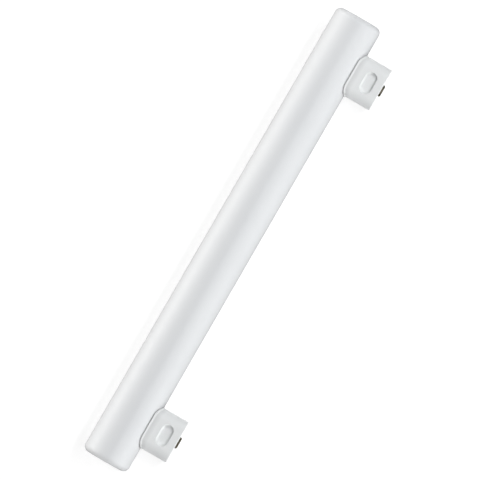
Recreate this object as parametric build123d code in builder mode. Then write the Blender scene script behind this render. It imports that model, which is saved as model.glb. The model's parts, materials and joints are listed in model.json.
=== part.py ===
from build123d import *
import math
import os

# Tubular lamp with a closed opal tube and two side pegs that plug into a pair of lamp holders.
# It lies as it comes to rest: on the tube, and on the lower outer edge of both pegs.
# Millimetres. X runs along the tube, the pegs point to the front (-Y), Z is up from the floor.

# Opal tube: a sealed glass envelope
tube_length = 300.0
tube_diameter = 29.5
tube_wall = 1.0
tube_end_radius = 3.8  # rounding between the wall and the end
tube_end_crown = 0.3  # how far the end bulges at its middle

# Peg caps, one near each end of the tube
peg_from_end = 31.0  # from the tube's end to the middle of the peg
peg_height = 16.95  # from the tube's surface to the peg's end face
peg_length = 26.9  # along the tube
peg_thickness = 19.2
peg_end_flat = 6.7  # flat stretch between the two rounded corners at each end of the outline
peg_edge_chamfer = 0.4  # round the end face

# Saddle foot of a peg cap, a lip that follows the glass
foot_overhang = 0.25  # past the peg, all the way round
foot_thickness = 0.6
foot_rim_chamfer = 0.1
seam_gap = 0.6  # open seam between the foot's rim and the glass
seam_depth = 1.5  # how far the seam runs in under the foot

# Latch recess on both sides of a peg, for the spring of the lamp holder
recess_length = 13.7
recess_width = 7.5
recess_depth = 2.2
recess_wall_slope = 30.0  # degrees from square to the face
recess_floor_radius = 1.7  # rounding between the walls and the floor
recess_from_end = 8.5  # from the peg's end face to the recess's middle

# Contact strip on a peg's end face, with a leg at each end that is pressed into a slot
contact_length = 7.4
contact_width = 5.0
contact_thickness = 1.3
contact_bend_radius = 1.0
contact_edge_chamfer = 0.25
contact_leg_depth = 3.0
slot_clearance = 0.1

# Outlines of the peg and its foot
peg_corner_radius = (peg_thickness - peg_end_flat) / 2
foot_length = peg_length + 2 * foot_overhang
foot_width = peg_thickness + 2 * foot_overhang
foot_corner_radius = peg_corner_radius + foot_overhang

# Distances from the tube's axis
tube_radius = tube_diameter / 2
saddle_radius = tube_radius + seam_gap
foot_radius = saddle_radius + foot_thickness
peg_reach = tube_radius + peg_height
contact_reach = peg_reach + contact_thickness

# The pegs droop until their lower outer edge touches the floor that the tube lies on
edge_reach = peg_reach - peg_edge_chamfer
edge_offset = peg_thickness / 2
droop = math.asin(tube_radius / math.hypot(edge_reach, edge_offset)) - math.atan2(edge_offset, edge_reach)
peg_direction = Vector(0, -math.cos(droop), -math.sin(droop))

# The origin is on the floor, under the middle of the lamp's overall box
peg_front = peg_reach * math.cos(droop) + (edge_offset - peg_edge_chamfer) * math.sin(droop)
strip_front = contact_reach * math.cos(droop) + (contact_width / 2 - contact_edge_chamfer) * math.sin(droop)
axis_y = (max(peg_front, strip_front) - tube_radius) / 2
axis_z = tube_radius

os.makedirs("parts", exist_ok=True)


def make_tube():
    lengthwise = Plane(origin=(0, axis_y, axis_z), x_dir=(1, 0, 0), z_dir=(0, -1, 0))
    tip = tube_length / 2
    shoulder = tip - tube_end_crown
    hollow_corner = (2 - math.sqrt(2)) * (tube_end_radius - tube_wall)
    with BuildPart() as opal_tube:
        with BuildSketch(lengthwise) as half_section:
            with BuildLine():
                Line((-tip, 0), (tip, 0))
                TangentArc((tip, 0), (shoulder, tube_radius), tangent=(0, 1))
                Line((shoulder, tube_radius), (-shoulder, tube_radius))
                TangentArc((-tip, 0), (-shoulder, tube_radius), tangent=(0, 1))
            make_face()
            fillet(half_section.vertices().group_by(Axis.Y)[-1], tube_end_radius)
        revolve(axis=Axis(lengthwise.origin, lengthwise.x_dir))

        # Hollow inside, with the corners cut to keep the wall behind the rounded ends
        with BuildSketch(lengthwise) as hollow:
            Rectangle(2 * (shoulder - tube_wall), tube_radius - tube_wall, align=(Align.CENTER, Align.MIN))
            chamfer(hollow.vertices().group_by(Axis.Y)[-1], hollow_corner)
        revolve(axis=Axis(lengthwise.origin, lengthwise.x_dir), mode=Mode.SUBTRACT)
    opal_tube.part.label = "opal_tube"
    export_step(opal_tube.part, "parts/opal_tube.step")


def make_peg_cap(name, seat):
    # seat has its origin on the tube's axis, x along the tube and z out along the peg
    across_tube = Plane(origin=seat.origin, x_dir=seat.y_dir, z_dir=seat.x_dir)
    outward = Axis(seat.origin, seat.z_dir)

    # Foot: a rounded plate that is curved to follow the tube
    with BuildPart() as foot:
        with BuildSketch(seat):
            RectangleRounded(foot_length, foot_width, foot_corner_radius)
        extrude(amount=foot_radius)
        with BuildSketch(across_tube):
            Circle(foot_radius)
        extrude(amount=foot_length, both=True, mode=Mode.INTERSECT)
        foot_top = foot.faces().filter_by(GeomType.CYLINDER).sort_by(SortBy.RADIUS)[-1]
        chamfer(foot_top.edges(), foot_rim_chamfer)

    # Seam: the narrow space under the foot's rim, all the way round
    with BuildPart() as seam:
        with BuildSketch(seat):
            RectangleRounded(
                foot_length + seam_depth,
                foot_width + seam_depth,
                foot_corner_radius + seam_depth / 2,
            )
            RectangleRounded(
                foot_length - 2 * seam_depth,
                foot_width - 2 * seam_depth,
                foot_corner_radius - seam_depth,
                mode=Mode.SUBTRACT,
            )
        extrude(amount=saddle_radius)
        with BuildSketch(across_tube):
            Circle(saddle_radius)
        extrude(amount=foot_length, both=True, mode=Mode.INTERSECT)

    with BuildPart() as peg_cap:
        with BuildSketch(seat):
            RectangleRounded(peg_length, peg_thickness, peg_corner_radius)
        extrude(amount=peg_reach)
        chamfer(peg_cap.faces().sort_by(outward)[-1].edges(), peg_edge_chamfer)
        add(foot.part)

        # Saddle that lies on the glass, and the seam around it
        with BuildSketch(across_tube):
            Circle(tube_radius)
        extrude(amount=foot_length, both=True, mode=Mode.SUBTRACT)
        add(seam.part, mode=Mode.SUBTRACT)

        # Latch recesses with sloping walls that round into the floor
        for facing in (1, -1):
            recess_middle = (0, facing * peg_thickness / 2, peg_reach - recess_from_end)
            side = Plane(
                origin=seat.from_local_coords(recess_middle),
                x_dir=seat.x_dir,
                z_dir=seat.y_dir * facing,
            )
            with BuildPart(mode=Mode.SUBTRACT) as recess:
                with BuildSketch(side):
                    SlotOverall(recess_length, recess_width)
                extrude(amount=-recess_depth, taper=recess_wall_slope)
                recess_floor = recess.faces().sort_by(Axis(side.origin, side.z_dir))[0]
                fillet(recess_floor.edges(), recess_floor_radius)

        # Slots for the legs of the contact strip
        with BuildSketch(seat.offset(peg_reach)):
            with GridLocations(contact_length - contact_thickness, 0, 2, 1):
                Rectangle(contact_thickness + 2 * slot_clearance, contact_width + 2 * slot_clearance)
        extrude(amount=-(contact_leg_depth + slot_clearance), mode=Mode.SUBTRACT)
    peg_cap.part.label = name
    export_step(peg_cap.part, f"parts/{name}.step")


def make_contact(name, seat):
    lengthwise = Plane(origin=seat.origin, x_dir=seat.x_dir, z_dir=-seat.y_dir)
    outward = Axis(seat.origin, seat.z_dir)
    with BuildPart() as contact:
        with BuildSketch(lengthwise) as strip:
            with Locations((0, contact_reach)):
                Rectangle(contact_length, contact_thickness + contact_leg_depth, align=(Align.CENTER, Align.MAX))
            with Locations((0, peg_reach)):
                Rectangle(
                    contact_length - 2 * contact_thickness,
                    contact_leg_depth,
                    align=(Align.CENTER, Align.MAX),
                    mode=Mode.SUBTRACT,
                )
            fillet(strip.vertices().group_by(Axis.Y)[-1], contact_bend_radius)
        extrude(amount=contact_width / 2, both=True)
        chamfer(contact.faces().sort_by(outward)[-1].edges().filter_by(Axis.X), contact_edge_chamfer)
    contact.part.label = name
    export_step(contact.part, f"parts/{name}.step")


make_tube()
for side, direction in (("left", -1), ("right", 1)):
    seat = Plane(
        origin=(direction * (tube_length / 2 - peg_from_end), axis_y, axis_z),
        x_dir=(1, 0, 0),
        z_dir=peg_direction,
    )
    make_peg_cap(f"{side}_peg_cap", seat)
    make_contact(f"{side}_contact", seat)
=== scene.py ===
import bpy
import json
import math
from mathutils import Matrix, Vector


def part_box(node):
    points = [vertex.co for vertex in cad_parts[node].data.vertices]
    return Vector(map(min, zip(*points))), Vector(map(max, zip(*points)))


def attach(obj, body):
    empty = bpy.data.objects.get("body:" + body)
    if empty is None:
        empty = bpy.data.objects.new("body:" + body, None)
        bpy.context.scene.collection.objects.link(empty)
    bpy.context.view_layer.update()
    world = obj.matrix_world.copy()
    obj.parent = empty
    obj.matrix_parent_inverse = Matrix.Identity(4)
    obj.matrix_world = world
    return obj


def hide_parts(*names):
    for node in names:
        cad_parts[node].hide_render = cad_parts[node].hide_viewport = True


# Tubular lamp lying on a pale floor, in metres, seen square on to its two pegs

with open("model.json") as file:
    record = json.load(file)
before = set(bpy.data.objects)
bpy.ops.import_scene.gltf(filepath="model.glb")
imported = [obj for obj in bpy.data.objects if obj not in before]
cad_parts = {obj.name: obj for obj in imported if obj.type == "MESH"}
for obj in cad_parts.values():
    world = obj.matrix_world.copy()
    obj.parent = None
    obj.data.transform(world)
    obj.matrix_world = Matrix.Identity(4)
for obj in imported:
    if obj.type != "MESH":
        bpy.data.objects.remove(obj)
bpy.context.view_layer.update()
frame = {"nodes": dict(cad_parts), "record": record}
nodes = frame["nodes"]
scene = bpy.context.scene
mm = 0.001
print("frame loaded:", ", ".join(sorted(nodes)))

# Sizes and directions that the skin, the materials, the lights and the camera share
tubeLow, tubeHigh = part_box("opal_tube")
tubeCentre = (tubeLow + tubeHigh) / 2
tubeRadius = (tubeHigh.z - tubeLow.z) / 2
leftPeg = next(m for m in frame["record"]["mounts"] if m["name"] == "left_peg")
alongTube = Vector((1, 0, 0))
alongPegs = Vector(leftPeg["axis"]).normalized()
outOfFace = alongPegs.cross(alongTube)  # square to the pegs' broad faces, towards the camera

# A colour Mix node's sockets, by number because their names repeat
mixShare, mixFirst, mixSecond, mixResult = 0, 6, 7, 2


# sRGB hex to the linear values that shaders and lamps take
def linearColor(hexText):
    channels = [int(hexText[i:i + 2], 16) / 255 for i in (1, 3, 5)]
    return [c / 12.92 if c <= 0.04045 else ((c + 0.055) / 1.055) ** 2.4 for c in channels] + [1.0]


# Adds a node: an input that is another node's socket is linked, any other value is set
def addNode(tree, kind, settings=None, inputs=None):
    node = tree.nodes.new(kind)
    for name, value in (settings or {}).items():
        setattr(node, name, value)
    for name, value in (inputs or {}).items():
        if isinstance(value, bpy.types.NodeSocket):
            tree.links.new(value, node.inputs[name])
        else:
            node.inputs[name].default_value = value
    return node


def newMaterial(name):
    material = bpy.data.materials.new(name)
    material.use_nodes = True
    material.node_tree.nodes.clear()
    return material, material.node_tree


def dress(piece, material):
    piece.data.materials.clear()
    piece.data.materials.append(material)


# Opal tube: a finer skin of the same form as the solid
tubeSkin = {
    "sides": 192,
    "endRadius": 3.8 * mm,
    "endSteps": 12,
    "endCrown": 0.17 * mm,  # rise of the end between its rounding and its middle
    "crownRings": 4,
    "rimWithin": 0.01 * mm,  # how far apart along the tube the two points of a rim's edge may be
    "mergeWithin": 0.0001 * mm,
}


def makeTubeSkin(cfg):
    length = tubeHigh.x - tubeLow.x
    bpy.ops.object.select_all(action="DESELECT")
    bpy.ops.mesh.primitive_cylinder_add(
        vertices=cfg["sides"],
        radius=tubeRadius,
        depth=length - 2 * cfg["endCrown"],
        location=tubeCentre,
        rotation=(0, math.pi / 2, 0),
    )
    skin = bpy.context.active_object
    skin.name = "opal_tube_skin"
    bpy.ops.object.transform_apply(location=True, rotation=True, scale=True)
    bpy.ops.object.mode_set(mode="EDIT")

    # Round both end rims
    bpy.ops.mesh.select_mode(type="EDGE")
    bpy.ops.mesh.select_all(action="DESELECT")
    bpy.ops.object.mode_set(mode="OBJECT")
    for edge in skin.data.edges:
        a, b = [skin.data.vertices[v].co for v in edge.vertices]
        edge.select = abs(a.x - b.x) < cfg["rimWithin"]
    bpy.ops.object.mode_set(mode="EDIT")
    bpy.ops.mesh.bevel(offset=cfg["endRadius"], segments=cfg["endSteps"], affect="EDGES")

    # Dome each end, the one face with as many corners as the tube has sides: rings are inset step
    # by step, and each is moved out along the crown
    flatRadius = tubeRadius - cfg["endRadius"]
    crownSteps = cfg["crownRings"] + 1
    for side in (-1, 1):
        bpy.ops.mesh.select_mode(type="FACE")
        bpy.ops.mesh.select_all(action="DESELECT")
        bpy.ops.object.mode_set(mode="OBJECT")
        for face in skin.data.polygons:
            face.select = face.normal.x * side > 0 and len(face.vertices) == cfg["sides"]
        bpy.ops.object.mode_set(mode="EDIT")
        risen = 0.0
        for ring in range(1, crownSteps):
            bpy.ops.mesh.inset(thickness=flatRadius / crownSteps)
            rise = cfg["endCrown"] * (1 - (1 - ring / crownSteps) ** 2)
            bpy.ops.transform.translate(value=(side * (rise - risen), 0, 0))
            risen = rise
        bpy.ops.mesh.poke(offset=cfg["endCrown"] - risen)
    bpy.ops.mesh.select_all(action="SELECT")
    bpy.ops.mesh.remove_doubles(threshold=cfg["mergeWithin"])
    bpy.ops.mesh.normals_make_consistent(inside=False)
    bpy.ops.object.mode_set(mode="OBJECT")
    bpy.ops.object.shade_smooth()
    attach(skin, "root")
    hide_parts("opal_tube")
    return skin


opalTube = makeTubeSkin(tubeSkin)
print("opal tube:", len(opalTube.data.polygons), "faces")


# Opal glass, drawn and satin etched: a soft white body with hardly any cloud in it, under a fine
# tooth that spreads every highlight. The etched skin greys where it is looked along, which draws
# the rims
opalGlass = {
    "body": ("#f2f3f4", "#eeeff1"),
    "cloudSize": 45 * mm,
    "drawLineWidth": 2.5 * mm,  # lines that drawing leaves along the tube, felt in the gloss only
    "drawLineLength": 220 * mm,
    "drawLineSpan": (0.3, 0.7),  # noise at which the gloss is least and most rough
    "roughness": (0.46, 0.56),
    "ior": 1.5,
    "toothSize": 0.7 * mm,  # the etched tooth is nearer 0.1 mm, drawn coarser so that it shows
    "toothDepth": 0.04 * mm,
    "skin": "#f6f6f6",
    "skinRoughness": 0.7,
    "skinIor": 1.01,  # low, as the etched skin is part air
}


def makeOpalGlass(cfg):
    material, tree = newMaterial("opal_glass_drawn_satin_etched")
    place = addNode(tree, "ShaderNodeTexCoord").outputs["Object"]
    cloud = addNode(tree, "ShaderNodeTexNoise", inputs={
        "Vector": place, "Scale": 1 / cfg["cloudSize"]})
    body = addNode(tree, "ShaderNodeMix", {"data_type": "RGBA"}, {
        mixShare: cloud.outputs[0],
        mixFirst: linearColor(cfg["body"][0]),
        mixSecond: linearColor(cfg["body"][1])})
    drawn = addNode(tree, "ShaderNodeMapping", inputs={
        "Vector": place,
        "Scale": (1 / cfg["drawLineLength"], 1 / cfg["drawLineWidth"], 1 / cfg["drawLineWidth"])})
    lines = addNode(tree, "ShaderNodeTexNoise", inputs={
        "Vector": drawn.outputs[0], "Scale": 1.0})
    gloss = addNode(tree, "ShaderNodeMapRange", inputs={
        "Value": lines.outputs[0],
        "From Min": cfg["drawLineSpan"][0], "From Max": cfg["drawLineSpan"][1],
        "To Min": cfg["roughness"][0], "To Max": cfg["roughness"][1]})
    tooth = addNode(tree, "ShaderNodeTexNoise", inputs={
        "Vector": place, "Scale": 1 / cfg["toothSize"]})
    etched = addNode(tree, "ShaderNodeBump", inputs={
        "Strength": 1.0, "Distance": cfg["toothDepth"], "Height": tooth.outputs[0]})
    shader = addNode(tree, "ShaderNodeBsdfPrincipled", inputs={
        "Base Color": body.outputs[mixResult],
        "Roughness": gloss.outputs[0],
        "IOR": cfg["ior"],
        "Normal": etched.outputs[0],
        "Coat Weight": 1.0,
        "Coat Roughness": cfg["skinRoughness"],
        "Coat IOR": cfg["skinIor"],
        "Coat Tint": linearColor(cfg["skin"]),
    })
    addNode(tree, "ShaderNodeOutputMaterial", inputs={"Surface": shader.outputs[0]})
    return material


# PBT, moulded white: a dense white as pale as the glass, with the even grain of a spark-eroded
# mould and the faint clouding of the melt. Painted shade greys the corner behind the foot's lip,
# the lip a little, and the seam under it
mouldedPbt = {
    "body": ("#f4f5f5", "#f1f2f2"),
    "cloudSize": 9 * mm,
    "cloudDetail": 3.0,
    "cloudSwirl": 0.6,
    # Painted shade by height above the glass: full up to the first height, gone at the second
    "paintedShade": {
        "corner": ("#e3e4e4", 2.15 * mm, 4.25 * mm),
        "lipShade": ("#eeefef", 1.25 * mm, 1.7 * mm),
        "seam": ("#8c8b88", 0.58 * mm, 0.66 * mm),
    },
    "grainSize": 0.5 * mm,  # the mould's grain is nearer 0.2 mm, drawn coarser so that it shows
    "grainDepth": 0.03 * mm,
    "grainSpan": (0.1, 0.7),  # distance, in grains, at which the gloss is least and most rough
    "roughness": (0.42, 0.58),
    "ior": 1.55,
}


def makeMouldedPbt(cfg):
    material, tree = newMaterial("pbt_moulded_white")
    place = addNode(tree, "ShaderNodeTexCoord").outputs["Object"]
    cloud = addNode(tree, "ShaderNodeTexNoise", inputs={
        "Vector": place,
        "Scale": 1 / cfg["cloudSize"],
        "Detail": cfg["cloudDetail"],
        "Distortion": cfg["cloudSwirl"]})
    body = addNode(tree, "ShaderNodeMix", {"data_type": "RGBA"}, {
        mixShare: cloud.outputs[0],
        mixFirst: linearColor(cfg["body"][0]),
        mixSecond: linearColor(cfg["body"][1])})

    # Distance from the tube's axis tells how far a point is above the glass
    square = addNode(tree, "ShaderNodeMapping", inputs={
        "Vector": place,
        "Scale": (0, 1, 1),
        "Location": (0, -tubeCentre.y, -tubeCentre.z)})
    fromAxis = addNode(tree, "ShaderNodeVectorMath", {"operation": "LENGTH"}, {
        0: square.outputs[0]})
    # Painted shade: each band greys the body towards its colour, by height above the glass
    for shade, full, gone in cfg["paintedShade"].values():
        shadeShare = addNode(tree, "ShaderNodeMapRange", inputs={
            "Value": fromAxis.outputs["Value"],
            "From Min": tubeRadius + full, "From Max": tubeRadius + gone,
            "To Min": 1.0, "To Max": 0.0})
        body = addNode(tree, "ShaderNodeMix", {"data_type": "RGBA"}, {
            mixShare: shadeShare.outputs[0],
            mixFirst: body.outputs[mixResult],
            mixSecond: linearColor(shade)})

    grain = addNode(tree, "ShaderNodeTexVoronoi", {"feature": "SMOOTH_F1"}, {
        "Vector": place, "Scale": 1 / cfg["grainSize"]})
    gloss = addNode(tree, "ShaderNodeMapRange", inputs={
        "Value": grain.outputs["Distance"],
        "From Min": cfg["grainSpan"][0], "From Max": cfg["grainSpan"][1],
        "To Min": cfg["roughness"][0], "To Max": cfg["roughness"][1]})
    eroded = addNode(tree, "ShaderNodeBump", inputs={
        "Strength": 1.0, "Distance": cfg["grainDepth"], "Height": grain.outputs["Distance"]})
    shader = addNode(tree, "ShaderNodeBsdfPrincipled", inputs={
        "Base Color": body.outputs[mixResult],
        "Roughness": gloss.outputs[0],
        "IOR": cfg["ior"],
        "Normal": eroded.outputs[0],
    })
    addNode(tree, "ShaderNodeOutputMaterial", inputs={"Surface": shader.outputs[0]})
    return material


# Brass, rolled, stamped and dulled: patches of olive brown film, and fine rolling lines along the
# strip
dulledBrass = {
    "film": ("#35332a", "#555045"),
    "patchSize": 1.6 * mm,
    "patchDetail": 4.0,
    "patchSpan": (0.35, 0.65),  # noise at which the film is darkest and palest
    "roughness": (0.6, 0.38),  # of the darkest and the palest film
    "lineWidth": 0.25 * mm,  # rolling lines are nearer 0.05 mm, drawn coarser so that they show
    "lineLength": 6 * mm,
    "lineDepth": 0.006 * mm,
}


def makeDulledBrass(cfg):
    material, tree = newMaterial("brass_rolled_stamped_dulled")
    place = addNode(tree, "ShaderNodeTexCoord").outputs["Object"]
    patches = addNode(tree, "ShaderNodeTexNoise", inputs={
        "Vector": place, "Scale": 1 / cfg["patchSize"], "Detail": cfg["patchDetail"]})
    spread = addNode(tree, "ShaderNodeMapRange", inputs={
        "Value": patches.outputs[0],
        "From Min": cfg["patchSpan"][0], "From Max": cfg["patchSpan"][1]})
    film = addNode(tree, "ShaderNodeMix", {"data_type": "RGBA"}, {
        mixShare: spread.outputs[0],
        mixFirst: linearColor(cfg["film"][0]),
        mixSecond: linearColor(cfg["film"][1])})
    gloss = addNode(tree, "ShaderNodeMapRange", inputs={
        "Value": spread.outputs[0],
        "To Min": cfg["roughness"][0], "To Max": cfg["roughness"][1]})
    rolled = addNode(tree, "ShaderNodeMapping", inputs={
        "Vector": place,
        "Scale": (1 / cfg["lineLength"], 1 / cfg["lineWidth"], 1 / cfg["lineWidth"])})
    lines = addNode(tree, "ShaderNodeTexNoise", inputs={
        "Vector": rolled.outputs[0], "Scale": 1.0})
    scored = addNode(tree, "ShaderNodeBump", inputs={
        "Strength": 1.0, "Distance": cfg["lineDepth"], "Height": lines.outputs[0]})
    shader = addNode(tree, "ShaderNodeBsdfPrincipled", inputs={
        "Base Color": film.outputs[mixResult],
        "Metallic": 1.0,
        "Roughness": gloss.outputs[0],
        "Normal": scored.outputs[0],
    })
    addNode(tree, "ShaderNodeOutputMaterial", inputs={"Surface": shader.outputs[0]})
    return material


dress(opalTube, makeOpalGlass(opalGlass))
pbt = makeMouldedPbt(mouldedPbt)
brass = makeDulledBrass(dulledBrass)
for side in ("left", "right"):
    dress(nodes[f"{side}_peg_cap"], pbt)
    dress(nodes[f"{side}_contact"], brass)
print("materials set")


# Pale floor and world, both white to the eye and to reflections
stage = {
    "floorHalf": 4.0,
    "floorColor": "#dedede",  # as it throws light back on the lamp
    "floorShade": "#a8a8a8",  # share of the floor's light and shadow that the eye sees
    "floorLift": 0.76,  # white that the eye sees on top of it
    "worldColor": "#ffffff",
    "worldStrength": 0.11,
    "seenStrength": 1.0,  # the world as the eye sees it
}


# 1 for a ray from the eye, straight or by way of a reflection, and 0 for a ray that only lights
def seenRays(tree):
    path = addNode(tree, "ShaderNodeLightPath")
    straightOrMirrored = addNode(tree, "ShaderNodeMath", {"operation": "MAXIMUM"}, {
        0: path.outputs["Is Camera Ray"], 1: path.outputs["Is Glossy Ray"]})
    seen = addNode(tree, "ShaderNodeMath", {"operation": "MAXIMUM"}, {
        0: straightOrMirrored.outputs[0], 1: path.outputs["Is Transmission Ray"]})
    return seen.outputs[0]


def makeFloor(cfg):
    bpy.ops.object.select_all(action="DESELECT")
    bpy.ops.mesh.primitive_plane_add(size=2 * cfg["floorHalf"])
    floor = bpy.context.active_object
    floor.name = "floor"
    material, tree = newMaterial("paper_pale")
    lit = addNode(tree, "ShaderNodeBsdfDiffuse", inputs={
        "Color": linearColor(cfg["floorColor"])})
    shade = addNode(tree, "ShaderNodeBsdfDiffuse", inputs={
        "Color": linearColor(cfg["floorShade"])})
    lift = addNode(tree, "ShaderNodeEmission", inputs={"Strength": cfg["floorLift"]})
    lifted = addNode(tree, "ShaderNodeAddShader", inputs={0: shade.outputs[0], 1: lift.outputs[0]})
    both = addNode(tree, "ShaderNodeMixShader", inputs={
        0: seenRays(tree), 1: lit.outputs[0], 2: lifted.outputs[0]})
    addNode(tree, "ShaderNodeOutputMaterial", inputs={"Surface": both.outputs[0]})
    dress(floor, material)


def makeWorld(cfg):
    world = bpy.data.worlds.new("studio")
    world.use_nodes = True
    tree = world.node_tree
    tree.nodes.clear()
    white = linearColor(cfg["worldColor"])
    fill = addNode(tree, "ShaderNodeBackground", inputs={
        "Color": white, "Strength": cfg["worldStrength"]})
    seen = addNode(tree, "ShaderNodeBackground", inputs={
        "Color": white, "Strength": cfg["seenStrength"]})
    both = addNode(tree, "ShaderNodeMixShader", inputs={
        0: seenRays(tree), 1: fill.outputs[0], 2: seen.outputs[0]})
    addNode(tree, "ShaderNodeOutputWorld", inputs={"Surface": both.outputs[0]})
    scene.world = world


makeFloor(stage)
makeWorld(stage)
print("floor and world set")


# Softboxes, long side along the tube: "lean" is degrees from straight up towards the pegs, "along"
# is degrees towards the tube's right end
softboxes = {
    "distance": 3.0,
    "width": 0.5,
    "lamps": {
        "left": {"lean": -77, "along": -3, "length": 6.0, "power": 116.0, "color": "#fffefc"},
        "rightHigh": {"lean": 28, "along": 23, "length": 3.75, "power": 70.5, "color": "#fcfeff"},
        "rightLow": {"lean": 86, "along": -28, "length": 2.6, "power": 46.0, "color": "#ffffff"},
    },
}


def addSoftbox(cfg, name):
    own = cfg["lamps"][name]
    lean, along = math.radians(own["lean"]), math.radians(own["along"])
    back = Vector((
        math.sin(along),
        -math.sin(lean) * math.cos(along),
        math.cos(lean) * math.cos(along),
    ))
    across = back.cross(alongTube).normalized()
    lamp = bpy.data.lights.new("softbox_" + name, "AREA")
    lamp.shape = "RECTANGLE"
    lamp.size = own["length"]
    lamp.size_y = cfg["width"]
    lamp.energy = own["power"]
    lamp.color = linearColor(own["color"])[:3]
    softbox = bpy.data.objects.new("softbox_" + name, lamp)
    scene.collection.objects.link(softbox)
    turn = Matrix((across.cross(back), across, back)).transposed().to_4x4()
    softbox.matrix_world = Matrix.Translation(tubeCentre + cfg["distance"] * back) @ turn
    softbox.visible_camera = False


for name in softboxes["lamps"]:
    addSoftbox(softboxes, name)
print("softboxes:", ", ".join(softboxes["lamps"]))


# Camera: square on to the pegs, the tube leaning as in the 480 pixel picture
picture = {
    "pixels": 480,
    "pixelsPerMm": 1.7075,
    "tubeCentre": (232.19, 239.53),  # pixels from the left and from the top
    "tubeLean": 30.006,  # degrees from upright
    "lens": 1000,  # long, because the picture shows no perspective
    "sensor": 36,
}


def makeCamera(cfg):
    lean = math.radians(cfg["tubeLean"])
    right = math.sin(lean) * alongTube + math.cos(lean) * alongPegs
    up = math.cos(lean) * alongTube - math.sin(lean) * alongPegs
    metresPerPixel = mm / cfg["pixelsPerMm"]
    half = cfg["pixels"] / 2
    target = tubeCentre + metresPerPixel * (
        (half - cfg["tubeCentre"][0]) * right - (half - cfg["tubeCentre"][1]) * up)
    distance = cfg["pixels"] * metresPerPixel * cfg["lens"] / cfg["sensor"]
    data = bpy.data.cameras.new("camera")
    data.lens = cfg["lens"]
    data.sensor_width = cfg["sensor"]
    camera = bpy.data.objects.new("camera", data)
    scene.collection.objects.link(camera)
    turn = Matrix((right, up, outOfFace)).transposed().to_4x4()
    camera.matrix_world = Matrix.Translation(target + distance * outOfFace) @ turn
    scene.camera = camera


makeCamera(picture)
scene.view_settings.view_transform = "Standard"
print("camera set")
